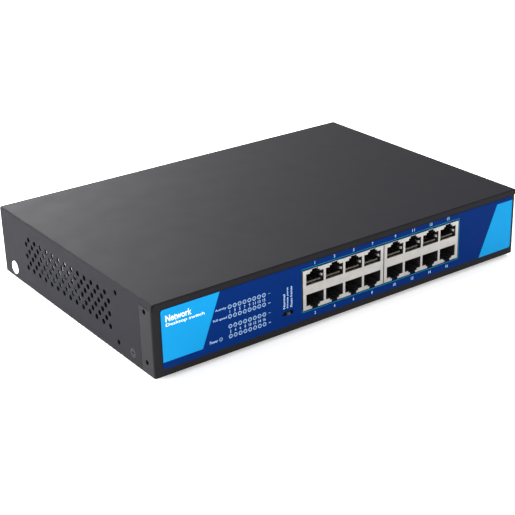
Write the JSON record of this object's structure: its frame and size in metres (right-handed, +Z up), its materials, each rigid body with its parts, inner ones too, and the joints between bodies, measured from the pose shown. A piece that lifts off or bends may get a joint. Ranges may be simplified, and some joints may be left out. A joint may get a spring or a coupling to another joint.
{
  "type": "network switch",
  "caption": "Desktop network switch: folded steel case with vented sides, blue printed front label, lamp rows, slide switch and two blocks of stacked modular sockets.",
  "frame": {"origin": "under the middle of the case, on the surface that the feet stand on", "axes": "+X to the right for someone facing the front, -Y out of the front with the sockets, +Z up"},
  "size_m": [0.2681, 0.184, 0.046],
  "materials": {
    "case_steel": "fine matt powder coat",
    "label_print": "satin printed film",
    "jack_metal": "plated, satin",
    "jack_plastic": "moulded, matt",
    "contact_gold": "gold plated",
    "light_guide": "clear moulding",
    "led_body": "moulded lamp body",
    "black_plastic": "moulded, fine texture",
    "switch_metal": "tinned",
    "circuit_board": "solder mask",
    "zinc_steel": "zinc plated",
    "brass_plain": "bright",
    "black_screw": "black zinc",
    "paper_white": "matt film",
    "foot_rubber": "matt",
    "chip_epoxy": "moulded",
    "heatsink_aluminium": "anodised",
    "capacitor_sleeve": "shrunk sleeve",
    "capacitor_can": "drawn can",
    "insulation_film": "film",
    "transformer_tape": "taped winding",
    "ferrite": "sintered",
    "film_box": "moulded box",
    "fuse_glass": "glass tube and clips",
    "nylon_white": "moulded",
    "wire_red": "insulation",
    "wire_black": "insulation",
    "wire_brown": "insulation",
    "wire_green": "insulation"
  },
  "bodies": {
    "case": {"ac_inlet": "black_plastic", "board_capacitors": "capacitor_can", "board_connector": "nylon_white", "board_screws": "zinc_steel", "board_standoffs": "zinc_steel", "bottom_chassis": "case_steel", "bulk_capacitor": "capacitor_sleeve", "chip_heatsink": "heatsink_aluminium", "cover_screws": "black_screw", "crystal": "zinc_steel", "dc_wires_black": "wire_black", "dc_wires_red": "wire_red", "earth_wire": "wire_green", "film_capacitor": "film_box", "filter_choke": "ferrite", "front_label": "label_print", "front_panel": "case_steel", "fuse": "fuse_glass", "ground_nut": "brass_plain", "ground_screw": "brass_plain", "inlet_pins": "brass_plain", "insulator_sheet": "insulation_film", "jack_contacts_left": "contact_gold", "jack_contacts_right": "contact_gold", "jack_insert_left": "jack_plastic", "jack_insert_right": "jack_plastic", "jack_shield_left": "jack_metal", "jack_shield_right": "jack_metal", "light_pipes": "light_guide", "magnetics": "chip_epoxy", "main_board": "circuit_board", "mains_wires": "wire_brown", "mode_switch_body": "switch_metal", "output_capacitors": "capacitor_sleeve", "phy_chips": "chip_epoxy", "pipe_holder": "black_plastic", "power_board": "circuit_board", "power_connector": "nylon_white", "power_heatsinks": "heatsink_aluminium", "power_inductors": "chip_epoxy", "rubber_feet": "foot_rubber", "seal_sticker": "paper_white", "status_leds": "led_body", "switch_chip": "chip_epoxy", "top_cover": "case_steel", "transformer": "transformer_tape"},
    "mode_knob": {"mode_slider": "black_plastic"}
  },
  "joints": [
    {"name": "mode_slide", "type": "slide", "parent": "case", "child": "mode_knob", "axis": [1, 0, 0], "range_m": [-0.0025, 0.0025]}
  ]
}
